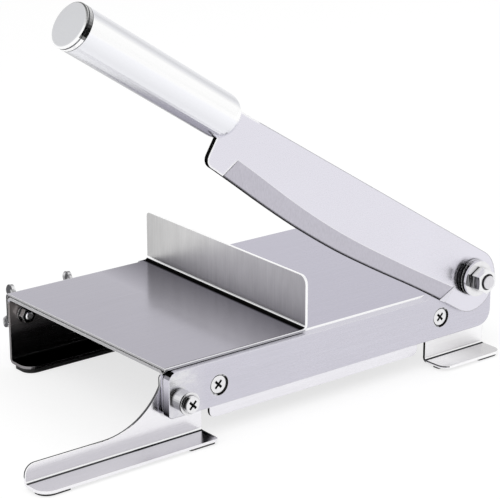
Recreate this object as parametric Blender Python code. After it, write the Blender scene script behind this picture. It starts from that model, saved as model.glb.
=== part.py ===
"""Hand-lever bone chopper: a bent steel table, a fixed cutter bar, a swinging blade with a tube
handle and a fence plate that slides along the table.

Metres, +Z up. X runs along the cutter bar from its free end to the pivot, Y from the cutting side
to the far side. Inside the machine's own frame X = 0 is the table's left end, Y = 0 the outer face
of its near flange and Z = 0 its top face; the machine is then stood on Z = 0 with its footprint's
centre at the origin.
"""

from math import asin, atan2, cos, hypot, pi, radians, sin, sqrt, tan

import bmesh
import bpy
from mathutils import Matrix, Vector

# Clearances
GAP = 0.0003
RUNNING_GAP = 0.0001
HOLE_GAP = 0.0003
CUT_OVER = 0.002

# Table: one bent sheet, open at both ends
SHEET = 0.00165
TABLE_SHORT_OF_BAR = 0.0005
TABLE_DEPTH = 0.152
TABLE_BEND = 0.00265
NEAR_FLANGE_HEIGHT = 0.026
NEAR_SKIRT_HEIGHT = 0.035
SKIRT_LEFT = 0.031
SKIRT_SHORT_OF_TABLE = 0.0536
FLANGE_CORNER = 0.004
SKIRT_INNER_CORNER = 0.001
FAR_FLANGE_HEIGHT = 0.04105
LIP_DEPTH = 0.0187
LIP_BEND = 0.003
LIP_CORNER = 0.008

# Fixed cutter bar with the ear that carries the pivot
BAR_LENGTH = 0.2385
BAR_HEIGHT = 0.02575
BAR_THICKNESS = 0.0056
BAR_TOP_CORNER = 0.0055
BAR_LOW_CORNER = 0.0022
BAR_END_CORNER = 0.009
BAR_EDGE_BREAK = 0.0003
EAR_RADIUS = 0.0155
EAR_SHOULDER_LEFT_OF_PIVOT = 0.0315
EAR_RIGHT_DROP = 0.00625
EAR_SHOULDER_ROUND = 0.006

# Pivot
PIVOT_FROM_BAR_END = 0.020
PIVOT_HEIGHT = 0.00855
PIVOT_RADIUS = 0.004
PIVOT_HEAD_WIDTH = 0.013
PIVOT_HEAD_HEIGHT = 0.0053
PIVOT_WASHER_RADIUS = 0.0108
PIVOT_WASHER_THICKNESS = 0.002
SPRING_WASHER_RADIUS = 0.0106
SPRING_WASHER_THICKNESS = 0.0032
PIVOT_NUT_WIDTH = 0.013
PIVOT_NUT_HEIGHT = 0.007
PIVOT_NUT_TURN = 30.0
PIVOT_END_SHOWS = 0.0021
PIVOT_END_CHAMFER = 0.0009

# Blade: u runs from the pivot towards the handle, v upwards, both in the blade's own plane; in the
# two form lines and the bevel's edge limits u is a share of the blade's length
REST_ANGLE = 31.6
BLADE_THICKNESS = 0.0028
BLADE_SPINE = 0.0165
BLADE_END_RADIUS = 0.0187
BLADE_END_OFFSET = 0.002
HEEL_PAST_BAR = 0.0018
BLADE_HEEL = -0.0162
BLADE_HEEL_CORNER = 0.005
CUTTING_EDGE_FORM = ((0.0545, -0.02095), (0.1816, -0.0216), (0.3404, -0.0233), (0.4902, -0.0242),
                     (0.6400, -0.0233), (0.7626, -0.0213), (0.8897, -0.0184), (0.9623, -0.0168))
BEVEL_TOP_FORM = ((0.0440, -0.0106), (0.2270, -0.0128), (0.4675, -0.0142), (0.6582, -0.0123),
                  (0.8488, -0.0077), (0.9246, -0.0060))
BEVEL_EDGE_START = 0.0567
BEVEL_EDGE_END = 0.9396
BEVEL_RUN_OUT = 0.012
BEVEL_STATIONS = 26
BEVEL_OVER_CUT = 0.25
EDGE_LAND = 0.0003
TANG_LENGTH = 0.0647
TANG_DROP = 0.0088
TANG_CORNER = 0.003

# Handle: a round tube with a domed nose over the blade's end and a plug in its far end
HANDLE_RADIUS = 0.01225
HANDLE_WALL = 0.0015
HANDLE_OVER_BLADE = 0.0062
HANDLE_LENGTH = 0.1165
HANDLE_AXIS = 0.0095
HANDLE_TILT = 1.07
HANDLE_DOME = 0.0105
CAP_THICKNESS = 0.0045
CAP_ROUND = 0.0012
CAP_GROOVE = 0.0008
CAP_GROOVE_DEPTH = 0.0005
CAP_GROOVE_PLACE = 0.002
CAP_PLUG_LENGTH = 0.012
CAP_WALL = 0.0015

# Screws that hold the bar and the near feet
SCREW_RADIUS = 0.0025
SCREW_NUT_WIDTH = 0.008
SCREW_NUT_HEIGHT = 0.004
SCREW_WASHER_RADIUS = 0.005
SCREW_WASHER_THICKNESS = 0.001
SCREW_END_SHOWS = 0.001
SCREW_CHAMFER = 0.0005
HEX_FACE_SHARE = 0.48
HEX_CHAMFER_SLOPE = 0.5
CROSS_LENGTH = 0.0058
CROSS_WIDTH = 0.0014
CROSS_DEPTH = 0.0015
CROSS_TURN = 45.0
FLAT_HEAD_RADIUS = 0.005
HEAD_SINK = 0.0008
LEFT_SCREW_X = 0.0332
LEFT_SCREW_DROP = 0.01415
RIGHT_SCREW_FROM_BAR_END = 0.0411
RIGHT_SCREW_DROP = 0.01305

# Stop that the closed blade rests on
STOP_X = 0.006
STOP_DROP = 0.01485
STOP_SLEEVE_RADIUS = 0.0056
STOP_SLEEVE_LENGTH = 0.0084
STOP_WASHER_RADIUS = 0.00625
STOP_WASHER_THICKNESS = 0.0012
STOP_HEAD_RADIUS = 0.00475
STOP_HEAD_HEIGHT = 0.0022
STOP_HEAD_ROUND = 0.0010

# Near feet: bent sheets that hang behind the near flange
FOOT_BEND = 0.0012
PAD_THICKNESS = 0.0015
LEFT_FOOT_TIP = -0.0845
LEFT_FOOT_RIGHT = 0.027
LEFT_FOOT_ARM_TOP = -0.03065
LEFT_FOOT_SWEEP_START = -0.036
LEFT_FOOT_SWEEP_RADIUS = 0.041
LEFT_FOOT_TIP_CORNER = 0.006
LEFT_FOOT_TAB_RIGHT = 0.044
LEFT_FOOT_TAB_BOTTOM = -0.0245
LEFT_FOOT_WIDTH = 0.0134
LEFT_FOOT_CORNER = 0.008
LEFT_FOOT_RIGHT_CORNER = 0.002
RIGHT_FOOT_PAST_TABLE = 0.0025
RIGHT_FOOT_LENGTH = 0.0475
RIGHT_FOOT_TAB_LENGTH = 0.037
RIGHT_FOOT_TAB_BOTTOM = -0.0245
RIGHT_FOOT_WIDTH = 0.0150
RIGHT_FOOT_CORNER = 0.006
WEB_TOP = -0.003
WEB_CORNER = 0.002
PAD_INSET = 0.0012
HIDDEN_PAD_INSET = 0.0065
PAD_LENGTH = 0.017
PAD_BACK = 0.0033
PAD_CORNER = 0.0012
STRIP_THICKNESS = 0.0029
STRIP_INSET = 0.0013

# Fence plate: lies on the table, with a flange down the far side and the fence turned up
FENCE_X_NEAR = 0.0964
FENCE_X_FAR = 0.1014
FENCE_HEIGHT = 0.0303
FENCE_BEND = 0.002
FENCE_NEAR_CORNER = 0.005
FENCE_FAR_CORNER = 0.0027
FENCE_FAR_SETBACK = 0.0004
BEND_RELIEF = 0.0008
PLATE_OVERHANG = 0.002
PLATE_FLANGE_HEIGHT = 0.0235
PLATE_FLANGE_CORNER = 0.007
FENCE_TRAVEL = 0.080

# Wing bolts that clamp the fence plate through the slot in the far flange
WING_X_LEFT = 0.0096
WING_SPACING = 0.040
WING_DROP = 0.0119
WING_ANGLE = 9.0
WING_SPAN = 0.0131
WING_THICKNESS = 0.0022
WING_TIP_RADIUS = 0.0033
WING_TIP_LIFT = 0.0113
WING_HUB_RADIUS = 0.0047
WING_HUB_SHOULDER_RADIUS = 0.0040
WING_HUB_TOP_RADIUS = 0.0033
WING_HUB_HEIGHT = 0.0068
WING_ROOT_OUT = 0.00235
WING_ROOT_LOW = 0.0006
WING_ROOT_HIGH = 0.0064
SLOT_END_ROOM = 0.0004

# Facets
ROUND_STEPS = 48
SMALL_ROUND_STEPS = 32
BLADE_END_STEPS = 20
EAR_STEPS = 18
SWEEP_STEPS = 14
SLOT_STEPS = 12
DOME_STEPS = 9
WING_TIP_STEPS = 10
CORNER_STEPS = 5
BEND_STEPS = 4
CROWN_STEPS = 4
SMOOTH_ANGLE = radians(32)

# Places that follow from the sizes above
TABLE_LENGTH = BAR_LENGTH - TABLE_SHORT_OF_BAR
SKIRT_RIGHT = TABLE_LENGTH - SKIRT_SHORT_OF_TABLE
PIVOT_X = BAR_LENGTH - PIVOT_FROM_BAR_END
EAR_LEFT_SHOULDER = PIVOT_X - EAR_SHOULDER_LEFT_OF_PIVOT
BAR_SCREWS = {"left": (LEFT_SCREW_X, -LEFT_SCREW_DROP),
              "right": (BAR_LENGTH - RIGHT_SCREW_FROM_BAR_END, -RIGHT_SCREW_DROP)}
RIGHT_FOOT_RIGHT = TABLE_LENGTH + RIGHT_FOOT_PAST_TABLE
RIGHT_FOOT_LEFT = RIGHT_FOOT_RIGHT - RIGHT_FOOT_LENGTH
RIGHT_FOOT_TAB_RIGHT = RIGHT_FOOT_LEFT + RIGHT_FOOT_TAB_LENGTH
BLADE_LENGTH = PIVOT_X + HEEL_PAST_BAR
CUTTING_EDGE = [(share * BLADE_LENGTH, v) for share, v in CUTTING_EDGE_FORM]
BEVEL_TOP = [(share * BLADE_LENGTH, v) for share, v in BEVEL_TOP_FORM]
TANG_END = BLADE_LENGTH + TANG_LENGTH
HANDLE_START = BLADE_LENGTH - HANDLE_OVER_BLADE
GROUND = -(FAR_FLANGE_HEIGHT + STRIP_THICKNESS)
FOOT_BOTTOM = GROUND + PAD_THICKNESS
FOOT_TOP = FOOT_BOTTOM + SHEET
WEB_FRONT = SHEET + GAP
WEB_BACK = WEB_FRONT + SHEET
BAR_BACK = -GAP
BAR_FRONT = BAR_BACK - BAR_THICKNESS
BLADE_BACK = BAR_FRONT - GAP
BLADE_FRONT = BLADE_BACK - BLADE_THICKNESS
BLADE_MIDDLE = (BLADE_BACK + BLADE_FRONT) / 2
PLATE_BOTTOM = GAP
PLATE_TOP = PLATE_BOTTOM + SHEET
PLATE_FAR_FACE = TABLE_DEPTH + GAP + SHEET
HANDLE_BORE = HANDLE_RADIUS - HANDLE_WALL


def clear_scene():
    for item in list(bpy.data.objects):
        bpy.data.objects.remove(item, do_unlink=True)


def make_finish(name, colour, metallic, roughness):
    finish = bpy.data.materials.new(name)
    finish.use_nodes = True
    shader = finish.node_tree.nodes["Principled BSDF"]
    shader.inputs["Base Color"].default_value = (*colour, 1.0)
    shader.inputs["Metallic"].default_value = metallic
    shader.inputs["Roughness"].default_value = roughness
    return finish


def make_frame(name, parent=None, location=(0, 0, 0), turn=0.0):
    """An empty that carries pieces; turn is a rotation about Y that lifts what lies at -X."""
    frame = bpy.data.objects.new(name, None)
    bpy.context.scene.collection.objects.link(frame)
    frame.empty_display_size = 0.02
    frame.parent = parent
    frame.location = location
    frame.rotation_euler = (0, turn, 0)
    return frame


def make_object(name, bm, finish=None, parent=None, location=(0, 0, 0), smooth=False):
    bmesh.ops.recalc_face_normals(bm, faces=bm.faces)
    mesh = bpy.data.meshes.new(name)
    bm.to_mesh(mesh)
    bm.free()
    if smooth:
        mesh.shade_smooth()
        mesh.set_sharp_from_angle(angle=SMOOTH_ANGLE)
    item = bpy.data.objects.new(name, mesh)
    bpy.context.scene.collection.objects.link(item)
    if finish:
        mesh.materials.append(finish)
    item.parent = parent
    item.location = location
    return item


def combine(item, other, operation):
    """A Boolean of item with other, which then serves as a hidden cutter."""
    modifier = item.modifiers.new(other.name, "BOOLEAN")
    modifier.operation = operation
    modifier.solver = "EXACT"
    modifier.object = other
    other.parent = item.parent
    other.location = item.location + other.location
    other.hide_render = True
    other.display_type = "WIRE"


def arc(centre, radius, start, end, steps=CORNER_STEPS):
    """Points on a circle from one angle to another, in degrees, ends included."""
    angles = [radians(start + (end - start) * i / steps) for i in range(steps + 1)]
    return [(centre[0] + radius * cos(a), centre[1] + radius * sin(a)) for a in angles]


def rounded(corners, steps=CORNER_STEPS):
    """A closed outline from (a, b, radius) corners, each turned into an arc of its radius."""
    outline = []
    for i, (a, b, radius) in enumerate(corners):
        here = Vector((a, b))
        if not radius:
            outline.append((a, b))
            continue
        before = (Vector(corners[i - 1][:2]) - here).normalized()
        after = (Vector(corners[(i + 1) % len(corners)][:2]) - here).normalized()
        half = before.angle(after) / 2
        centre = here + (before + after).normalized() * (radius / sin(half))
        start = here + before * (radius / tan(half)) - centre
        turn = start.angle_signed(here + after * (radius / tan(half)) - centre)
        for k in range(steps + 1):
            spoke = Matrix.Rotation(-turn * k / steps, 2) @ start
            outline.append(tuple(centre + spoke))
    return outline


def smooth_curve(points, steps=5):
    """Points on a smooth curve through the given ones."""
    curve = []
    ends = [points[0], *points, points[-1]]
    for p0, p1, p2, p3 in zip(ends, ends[1:], ends[2:], ends[3:]):
        for k in range(steps):
            t = k / steps
            curve.append(tuple(
                0.5 * (2 * b + (c - a) * t + (2 * a - 5 * b + 4 * c - d) * t ** 2
                       + (3 * b - a - 3 * c + d) * t ** 3)
                for a, b, c, d in zip(p0, p1, p2, p3)))
    return curve + [tuple(points[-1])]


def height_on(points, place):
    """The second coordinate of a polyline where its first one is place."""
    for (a0, b0), (a1, b1) in zip(points, points[1:]):
        if a0 <= place <= a1:
            return b0 + (b1 - b0) * (place - a0) / (a1 - a0)
    return points[-1][1]


def tangent_point(outside, centre, radius, side):
    """Where a line from a point outside touches a circle; side is 1 or -1."""
    reach = hypot(centre[0] - outside[0], centre[1] - outside[1])
    angle = atan2(outside[1] - centre[1], outside[0] - centre[0])
    angle += side * (pi / 2 - asin(radius / reach))
    return centre[0] + radius * cos(angle), centre[1] + radius * sin(angle)


def extruded(points, push):
    """A flat polygon pushed along a vector into a solid."""
    bm = bmesh.new()
    face = bm.faces.new([bm.verts.new(point) for point in points])
    pushed = bmesh.ops.extrude_face_region(bm, geom=[face])
    moved = [item for item in pushed["geom"] if isinstance(item, bmesh.types.BMVert)]
    bmesh.ops.translate(bm, verts=moved, vec=push)
    return bm


def prism(outline, start, end):
    """An (x, z) outline extruded along Y between two places."""
    return extruded([(a, start, b) for a, b in outline], (0, end - start, 0))


def turned(profile, steps=SMALL_ROUND_STEPS, closed=False):
    """A (y, radius) profile spun about the Y axis; a closed profile leaves a bore."""
    bm = bmesh.new()
    verts = [bm.verts.new((radius, y, 0)) for y, radius in profile]
    pairs = list(zip(verts, verts[1:]))
    if closed:
        pairs.append((verts[-1], verts[0]))
    edges = [bm.edges.new(pair) for pair in pairs]
    bmesh.ops.spin(bm, geom=verts + edges, cent=(0, 0, 0), axis=(0, 1, 0), angle=2 * pi,
                   steps=steps, use_merge=True)
    bmesh.ops.remove_doubles(bm, verts=bm.verts, dist=1e-7)
    return bm


def hexagon(width, turn=0.0):
    """A hexagon across flats; with no turn it has a flat at the top and at the bottom."""
    radius = width / sqrt(3)
    angles = [radians(60 * i + turn) for i in range(6)]
    return [(radius * cos(a), radius * sin(a)) for a in angles]


def hex_limits(width, near, far, bore=0.0):
    """The turned shape whose cones chamfer a hexagon's corners and whose bore is its hole."""
    corner = width / sqrt(3)
    flat = width * HEX_FACE_SHARE
    chamfer = (corner - flat) * HEX_CHAMFER_SLOPE
    outer = [(near, flat), (near + chamfer, corner + GAP), (far - chamfer, corner + GAP), (far, flat)]
    if bore:
        return turned([(near, bore), *outer, (far, bore)], closed=True)
    return turned([(near, 0), *outer, (far, 0)])


def make_nut(name, width, near, far, bore, finish, parent, place, turn=0.0):
    nut = make_object(name, prism(hexagon(width, turn), near - CUT_OVER, far + CUT_OVER), finish,
                      parent, place)
    limits = make_object(name + "_limits", hex_limits(width, near, far, bore), smooth=True)
    combine(nut, limits, "INTERSECT")
    return nut


def make_washer(name, bore, radius, near, far, finish, parent, place):
    ring = turned([(near, bore), (near, radius), (far, radius), (far, bore)], closed=True)
    return make_object(name, ring, finish, parent, place, smooth=True)


def cross_recess(name, front):
    """A cross-shaped hole in a screw's face, open towards -Y."""
    arm = CROSS_LENGTH / 2
    half = CROSS_WIDTH / 2
    quarter = [(half, half), (half, arm), (-half, arm)]
    outline = []
    for k in range(4):
        turn = Matrix.Rotation(radians(90 * k + CROSS_TURN), 2)
        outline += [tuple(turn @ Vector(point)) for point in quarter[:2]]
        outline.append(tuple(turn @ Vector(quarter[2])))
    return make_object(name, prism(outline, front - CUT_OVER, front + CROSS_DEPTH))


def round_cutter(name, radius, near, far, x, z):
    """A cylinder along Y that cuts a hole."""
    return make_object(name, turned([(near, 0), (near, radius), (far, radius), (far, 0)]),
                       location=(x, 0, z))


def cut_hole(item, label, radius, near, far, x, z):
    name = item.name + "_" + label
    combine(item, round_cutter(name, radius, near - CUT_OVER, far + CUT_OVER, x, z), "DIFFERENCE")


def bent_sheet(name, panels, facing, finish, parent):
    """Flat panels and bend strips that share edges, thickened by one sheet away from facing.

    facing is a point on the side of the first panel that the surface looks towards.
    """
    bm = bmesh.new()
    for panel in panels:
        bm.faces.new([bm.verts.new(point) for point in panel])
    bmesh.ops.remove_doubles(bm, verts=bm.verts, dist=1e-6)
    bmesh.ops.recalc_face_normals(bm, faces=bm.faces)
    bm.faces.ensure_lookup_table()
    first = bm.faces[0]
    if first.normal.dot(Vector(facing) - first.calc_center_median()) < 0:
        bmesh.ops.reverse_faces(bm, faces=bm.faces)
    mesh = bpy.data.meshes.new(name)
    bm.to_mesh(mesh)
    bm.free()
    mesh.materials.append(finish)
    item = bpy.data.objects.new(name, mesh)
    bpy.context.scene.collection.objects.link(item)
    item.parent = parent
    thicken = item.modifiers.new("sheet", "SOLIDIFY")
    thicken.thickness = SHEET
    thicken.offset = -1
    thicken.use_even_offset = True
    thicken.use_quality_normals = True
    return item


def bend_strip(sections):
    """Quads between the neighbouring edges of a bend; each section is a pair of points."""
    return [(a, b, d, c) for (a, b), (c, d) in zip(sections, sections[1:])]


def make_table(parent, finish):
    length = TABLE_LENGTH
    depth = TABLE_DEPTH
    bottom = -NEAR_FLANGE_HEIGHT
    skirt = -NEAR_SKIRT_HEIGHT
    bend = TABLE_BEND
    near = rounded([
        (0, -bend, 0), (0, bottom, FLANGE_CORNER),
        (SKIRT_LEFT, bottom, SKIRT_INNER_CORNER), (SKIRT_LEFT, skirt, FLANGE_CORNER),
        (SKIRT_RIGHT, skirt, FLANGE_CORNER), (SKIRT_RIGHT, bottom, SKIRT_INNER_CORNER),
        (length, bottom, FLANGE_CORNER), (length, -bend, 0)])
    lip = rounded([
        (0, depth - LIP_BEND, 0), (0, depth - LIP_DEPTH, LIP_CORNER),
        (length, depth - LIP_DEPTH, LIP_CORNER), (length, depth - LIP_BEND, 0)])

    def across(y, z):
        return (0, y, z), (length, y, z)

    near_bend = [across(y, z) for y, z in arc((bend, -bend), bend, 180, 90, BEND_STEPS)]
    far_bend = [across(y, z) for y, z in arc((depth - bend, -bend), bend, 90, 0, BEND_STEPS)]
    lip_bend = [across(y, z) for y, z in
                arc((depth - LIP_BEND, LIP_BEND - FAR_FLANGE_HEIGHT), LIP_BEND, 0, -90, BEND_STEPS)]
    panels = [[(x, 0, z) for x, z in near]]
    panels += bend_strip(near_bend)
    panels += bend_strip([near_bend[-1], far_bend[0]])
    panels += bend_strip(far_bend)
    panels += bend_strip([far_bend[-1], lip_bend[0]])
    panels += bend_strip(lip_bend)
    panels.append([(x, y, -FAR_FLANGE_HEIGHT) for x, y in lip])
    table = bent_sheet("base_table", panels, (length / 2, -1, -bend), finish, parent)
    for side, (x, z) in BAR_SCREWS.items():
        cut_hole(table, side + "_screw_hole", SCREW_RADIUS + HOLE_GAP, 0, SHEET, x, z)
    cut_hole(table, "stop_hole", SCREW_RADIUS + HOLE_GAP, 0, SHEET, STOP_X, -STOP_DROP)
    radius = SCREW_RADIUS + HOLE_GAP
    left = WING_X_LEFT - SLOT_END_ROOM
    right = WING_X_LEFT + WING_SPACING + FENCE_TRAVEL + SLOT_END_ROOM
    slot = arc((left, -WING_DROP), radius, 90, 270, SLOT_STEPS)
    slot += arc((right, -WING_DROP), radius, -90, 90, SLOT_STEPS)
    cutter = make_object("base_table_slot", prism(slot, depth - SHEET - CUT_OVER, depth + CUT_OVER))
    combine(table, cutter, "DIFFERENCE")


def make_bar(parent, finish):
    pivot = (PIVOT_X, PIVOT_HEIGHT)
    left_shoulder = (EAR_LEFT_SHOULDER, 0)
    right_shoulder = (BAR_LENGTH, -EAR_RIGHT_DROP)
    right = tangent_point(right_shoulder, pivot, EAR_RADIUS, 1)
    left = tangent_point(left_shoulder, pivot, EAR_RADIUS, -1)
    start = atan2(right[1] - pivot[1], right[0] - pivot[0])
    end = atan2(left[1] - pivot[1], left[0] - pivot[0])
    outline = rounded([
        (0, 0, BAR_TOP_CORNER), (0, -BAR_HEIGHT, BAR_LOW_CORNER),
        (BAR_LENGTH, -BAR_HEIGHT, BAR_END_CORNER),
        (*right_shoulder, EAR_SHOULDER_ROUND), (*right, 0), (*left, 0),
        (*left_shoulder, EAR_SHOULDER_ROUND)])
    ear = arc(pivot, EAR_RADIUS, start * 180 / pi, end * 180 / pi, EAR_STEPS)
    place = outline.index(right)
    outline[place:place + 2] = ear
    bm = prism(outline, BAR_FRONT, BAR_BACK)
    rim = [edge for edge in bm.edges if abs(edge.verts[0].co.y - edge.verts[1].co.y) < 1e-6]
    bmesh.ops.bevel(bm, geom=rim, offset=BAR_EDGE_BREAK, segments=1, affect="EDGES")
    bar = make_object("cutter_bar", bm, finish, parent)
    mouth = FLAT_HEAD_RADIUS + HOLE_GAP + HEAD_SINK
    for side, (x, z) in BAR_SCREWS.items():
        cut_hole(bar, side + "_screw_hole", SCREW_RADIUS + HOLE_GAP, BAR_FRONT, BAR_BACK, x, z)
        sink = turned([(BAR_FRONT - CUT_OVER, 0), (BAR_FRONT - CUT_OVER, mouth + CUT_OVER),
                       (BAR_FRONT + mouth, 0)])
        cone = make_object("cutter_bar_" + side + "_countersink", sink, location=(x, 0, z))
        combine(bar, cone, "DIFFERENCE")
    cut_hole(bar, "stop_hole", SCREW_RADIUS + HOLE_GAP, BAR_FRONT, BAR_BACK, STOP_X, -STOP_DROP)
    cut_hole(bar, "pivot_hole", PIVOT_RADIUS + HOLE_GAP, BAR_FRONT, BAR_BACK, *pivot)


def make_bar_screws(parent, finish):
    """Countersunk screws through bar, flange and foot, each with a washer and a nut behind the web."""
    washer = WEB_BACK + GAP
    nut = washer + SCREW_WASHER_THICKNESS + GAP
    end = nut + SCREW_NUT_HEIGHT + SCREW_END_SHOWS
    head = BAR_FRONT + HEAD_SINK
    neck = head + FLAT_HEAD_RADIUS - SCREW_RADIUS
    bore = SCREW_RADIUS + HOLE_GAP
    profile = [(head, 0), (head, FLAT_HEAD_RADIUS), (neck, SCREW_RADIUS),
               (end - SCREW_CHAMFER, SCREW_RADIUS), (end, SCREW_RADIUS - SCREW_CHAMFER), (end, 0)]
    for side, (x, z) in BAR_SCREWS.items():
        name = "bar_screw_" + side
        place = (x, 0, z)
        screw = make_object(name, turned(profile), finish, parent, place, smooth=True)
        combine(screw, cross_recess(name + "_recess", head), "DIFFERENCE")
        make_washer(name + "_washer", bore, SCREW_WASHER_RADIUS, washer,
                    washer + SCREW_WASHER_THICKNESS, finish, parent, place)
        make_nut(name + "_nut", SCREW_NUT_WIDTH, nut, nut + SCREW_NUT_HEIGHT, bore, finish, parent,
                 place)


def make_stop(parent, finish):
    place = (STOP_X, 0, -STOP_DROP)
    bore = SCREW_RADIUS + HOLE_GAP
    sleeve = BAR_FRONT - GAP
    washer = sleeve - STOP_SLEEVE_LENGTH - GAP
    head = washer - STOP_WASHER_THICKNESS - GAP
    front = head - STOP_HEAD_HEIGHT
    end = WEB_BACK
    make_washer("stop_sleeve", bore, STOP_SLEEVE_RADIUS, sleeve - STOP_SLEEVE_LENGTH, sleeve,
                finish, parent, place)
    make_washer("stop_screw_front_washer", bore, STOP_WASHER_RADIUS,
                washer - STOP_WASHER_THICKNESS, washer, finish, parent, place)
    crown = arc((front + STOP_HEAD_ROUND, STOP_HEAD_RADIUS - STOP_HEAD_ROUND), STOP_HEAD_ROUND,
                180, 90, CROWN_STEPS)
    profile = [(front, 0), *crown, (head, STOP_HEAD_RADIUS), (head, SCREW_RADIUS),
               (end - SCREW_CHAMFER, SCREW_RADIUS), (end, SCREW_RADIUS - SCREW_CHAMFER), (end, 0)]
    screw = make_object("stop_screw", turned(profile), finish, parent, place, smooth=True)
    combine(screw, cross_recess("stop_screw_recess", front), "DIFFERENCE")


def make_pivot(parent, finish):
    place = (PIVOT_X, 0, PIVOT_HEIGHT)
    bore = PIVOT_RADIUS + HOLE_GAP
    washer = BLADE_FRONT - GAP
    spring = washer - PIVOT_WASHER_THICKNESS - GAP
    nut = spring - SPRING_WASHER_THICKNESS - GAP
    end = nut - PIVOT_NUT_HEIGHT - PIVOT_END_SHOWS
    head = BAR_BACK + GAP
    make_washer("pivot_flat_washer", bore, PIVOT_WASHER_RADIUS, washer - PIVOT_WASHER_THICKNESS,
                washer, finish, parent, place)
    make_washer("pivot_spring_washer", bore, SPRING_WASHER_RADIUS,
                spring - SPRING_WASHER_THICKNESS, spring, finish, parent, place)
    make_nut("pivot_nut", PIVOT_NUT_WIDTH, nut - PIVOT_NUT_HEIGHT, nut, bore, finish, parent, place,
             PIVOT_NUT_TURN)
    shank = turned([(end, 0), (end, PIVOT_RADIUS - PIVOT_END_CHAMFER),
                    (end + PIVOT_END_CHAMFER, PIVOT_RADIUS), (head + PIVOT_HEAD_HEIGHT / 2, PIVOT_RADIUS),
                    (head + PIVOT_HEAD_HEIGHT / 2, 0)], ROUND_STEPS)
    bolt = make_object("pivot_bolt", shank, finish, parent, place, smooth=True)
    block = make_object("pivot_bolt_head", prism(hexagon(PIVOT_HEAD_WIDTH), head,
                                                 head + PIVOT_HEAD_HEIGHT))
    combine(bolt, block, "UNION")


def handle_axis(u):
    """The handle's axis above the pivot line, at a place along the blade."""
    return HANDLE_AXIS + (u - HANDLE_START) * tan(radians(HANDLE_TILT))


def blade_outline():
    """The blade's outline in u and v, with the tang that goes into the handle."""
    centre = (-BLADE_END_OFFSET, BLADE_SPINE - BLADE_END_RADIUS)
    heel = rounded([
        (CUTTING_EDGE[-1][0], CUTTING_EDGE[-1][1], 0), (BLADE_LENGTH, BLADE_HEEL, BLADE_HEEL_CORNER),
        (BLADE_LENGTH, handle_axis(BLADE_LENGTH) - TANG_DROP, 0),
        (TANG_END, handle_axis(TANG_END) - TANG_DROP, TANG_CORNER),
        (TANG_END, BLADE_SPINE, TANG_CORNER), (0, BLADE_SPINE, 0)])
    end = arc(centre, BLADE_END_RADIUS, 90, 270, BLADE_END_STEPS)
    return end + smooth_curve(CUTTING_EDGE) + heel[1:-1]


def bevel_cutter():
    """The body that grinds the cutting bevel off the blade's outer face."""
    top_line = smooth_curve(BEVEL_TOP)
    edge_line = smooth_curve(CUTTING_EDGE)
    full_depth = [BEVEL_RUN_OUT + (1 - 2 * BEVEL_RUN_OUT) * i / BEVEL_STATIONS
                  for i in range(BEVEL_STATIONS + 1)]
    bm = bmesh.new()
    rings = []
    for share in (0, *full_depth, 1):
        u_top = BEVEL_TOP[0][0] + (BEVEL_TOP[-1][0] - BEVEL_TOP[0][0]) * share
        u_edge = BLADE_LENGTH * (BEVEL_EDGE_START + (BEVEL_EDGE_END - BEVEL_EDGE_START) * share)
        ground = 0 < share < 1
        edge_y = BLADE_BACK - EDGE_LAND if ground else BLADE_FRONT - GAP
        top_y = BLADE_FRONT if ground else BLADE_FRONT - GAP
        top = Vector((-u_top, top_y, height_on(top_line, u_top)))
        edge = Vector((-u_edge, edge_y, height_on(edge_line, u_edge)))
        over = (edge - top) * BEVEL_OVER_CUT
        away = Vector((0, BLADE_THICKNESS + CUT_OVER, 0))
        ring = [top - over, edge + over, edge + over - away, top - over - away]
        rings.append([bm.verts.new(point) for point in ring])
    for first, second in zip(rings, rings[1:]):
        for k in range(4):
            bm.faces.new((first[k], first[(k + 1) % 4], second[(k + 1) % 4], second[k]))
    bm.faces.new(rings[0])
    bm.faces.new(rings[-1])
    return bm


def make_blade(parent, finish):
    outline = [(-u, v) for u, v in blade_outline()]
    blade = make_object("blade", prism(outline, BLADE_FRONT, BLADE_BACK), finish, parent)
    combine(blade, make_object("blade_bevel", bevel_cutter()), "DIFFERENCE")
    hole = turned([(BLADE_FRONT - CUT_OVER, 0), (BLADE_FRONT - CUT_OVER, PIVOT_RADIUS + RUNNING_GAP),
                   (BLADE_BACK + CUT_OVER, PIVOT_RADIUS + RUNNING_GAP), (BLADE_BACK + CUT_OVER, 0)],
                  ROUND_STEPS)
    combine(blade, make_object("blade_pivot_hole", hole), "DIFFERENCE")


def along_handle(profile):
    """A turned shape laid along the handle's axis; the profile's places are distances along u."""
    bm = turned(profile, ROUND_STEPS)
    lay = Matrix.Rotation(radians(90), 4, "Z")
    tilt = Matrix.Rotation(radians(HANDLE_TILT), 4, "Y")
    start = Matrix.Translation((-HANDLE_START, BLADE_MIDDLE, HANDLE_AXIS))
    bmesh.ops.transform(bm, matrix=start @ tilt @ lay, verts=bm.verts)
    return bm


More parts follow.
